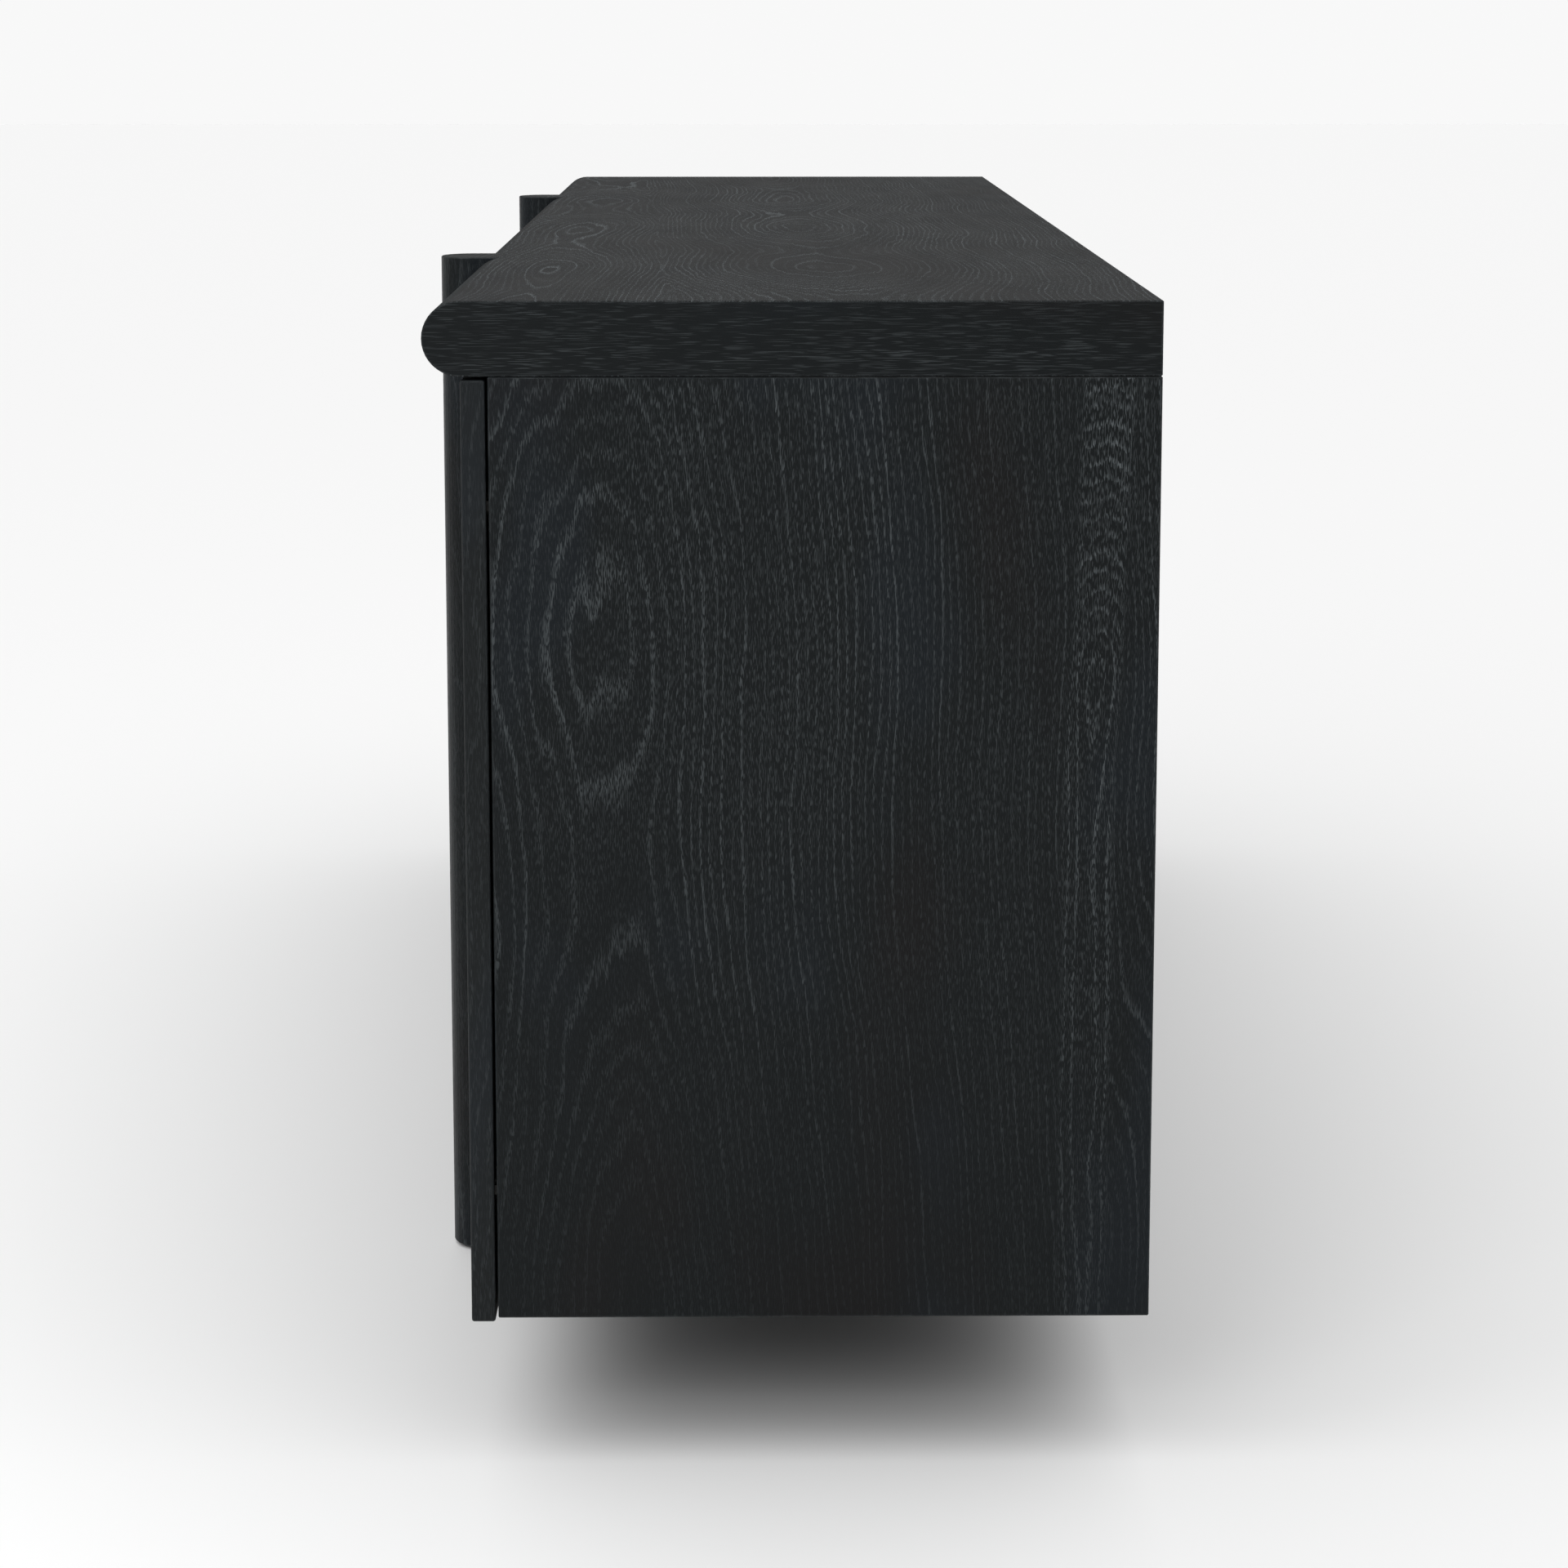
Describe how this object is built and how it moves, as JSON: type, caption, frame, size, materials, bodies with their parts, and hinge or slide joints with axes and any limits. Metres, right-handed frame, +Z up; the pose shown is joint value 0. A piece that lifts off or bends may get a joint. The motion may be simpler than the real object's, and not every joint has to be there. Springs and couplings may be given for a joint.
{
  "type": "dresser",
  "caption": "Long free-standing dresser with a half-round front edge on its top, two through posts that run down as legs, two doors over shelves and three drawers between the posts.",
  "frame": {"origin": "on the floor, at the middle of the object's box", "axes": "+X along the length, -Y towards the front with the drawers and doors, +Z up"},
  "size_m": [1.83, 0.534, 0.833],
  "materials": {
    "black_oak": "black stain with open pores under a satin lacquer",
    "black_board": "matt black veneered board",
    "drawer_wood": "dark stained plywood, matt lacquer",
    "zinc_steel": "zinc-plated pressed steel",
    "nylon": "moulded nylon"
  },
  "bodies": {
    "case": {"top_slab": "black_oak", "end_panel_left": "black_oak", "end_panel_right": "black_oak", "divider_left": "black_oak", "divider_right": "black_oak", "bottom_panel": "black_oak", "front_post_left": "black_oak", "front_post_right": "black_oak", "rear_leg_left": "black_oak", "rear_leg_right": "black_oak", "shelf_left": "black_oak", "shelf_right": "black_oak", "shelf_cleat_left_inner": "black_oak", "shelf_cleat_left_outer": "black_oak", "shelf_cleat_right_inner": "black_oak", "shelf_cleat_right_outer": "black_oak", "back_panel": "black_board", "glide_front_left": "nylon", "glide_front_right": "nylon", "glide_rear_left": "nylon", "glide_rear_right": "nylon", "door_catch_left": "nylon", "hinge_arm_left_lower": "zinc_steel", "hinge_arm_left_upper": "zinc_steel", "door_catch_right": "nylon", "hinge_arm_right_lower": "zinc_steel", "hinge_arm_right_upper": "zinc_steel", "slide_case_bottom_left": "zinc_steel", "slide_case_bottom_right": "zinc_steel", "slide_case_middle_left": "zinc_steel", "slide_case_middle_right": "zinc_steel", "slide_case_top_left": "zinc_steel", "slide_case_top_right": "zinc_steel"},
    "drawer_bottom": {"drawer_bottom_front": "black_oak", "drawer_bottom_side_left": "drawer_wood", "drawer_bottom_side_right": "drawer_wood", "drawer_bottom_back": "drawer_wood", "drawer_bottom_bottom": "drawer_wood", "slide_drawer_bottom_left": "zinc_steel", "slide_drawer_bottom_right": "zinc_steel"},
    "drawer_middle": {"drawer_middle_front": "black_oak", "drawer_middle_side_left": "drawer_wood", "drawer_middle_side_right": "drawer_wood", "drawer_middle_back": "drawer_wood", "drawer_middle_bottom": "drawer_wood", "slide_drawer_middle_left": "zinc_steel", "slide_drawer_middle_right": "zinc_steel"},
    "drawer_top": {"drawer_top_front": "black_oak", "drawer_top_side_left": "drawer_wood", "drawer_top_side_right": "drawer_wood", "drawer_top_back": "drawer_wood", "drawer_top_bottom": "drawer_wood", "slide_drawer_top_left": "zinc_steel", "slide_drawer_top_right": "zinc_steel"},
    "door_left": {"door_left": "black_oak", "hinge_cup_left_lower": "zinc_steel", "hinge_cup_left_upper": "zinc_steel"},
    "door_right": {"door_right": "black_oak", "hinge_cup_right_lower": "zinc_steel", "hinge_cup_right_upper": "zinc_steel"}
  },
  "joints": [
    {"name": "drawer_bottom_slide", "type": "slide", "parent": "case", "child": "drawer_bottom", "axis": [0, -1, 0], "range_m": [0, 0.3]},
    {"name": "drawer_middle_slide", "type": "slide", "parent": "case", "child": "drawer_middle", "axis": [0, -1, 0], "range_m": [0, 0.3]},
    {"name": "drawer_top_slide", "type": "slide", "parent": "case", "child": "drawer_top", "axis": [0, -1, 0], "range_m": [0, 0.3]},
    {"name": "door_left_hinge", "type": "hinge", "parent": "case", "child": "door_left", "pos_m": [-0.909, -0.2065, 0.105], "axis": [0, 0, -1], "range_deg": [0, 95]},
    {"name": "door_right_hinge", "type": "hinge", "parent": "case", "child": "door_right", "pos_m": [0.909, -0.2065, 0.105], "axis": [0, 0, 1], "range_deg": [0, 95]}
  ]
}
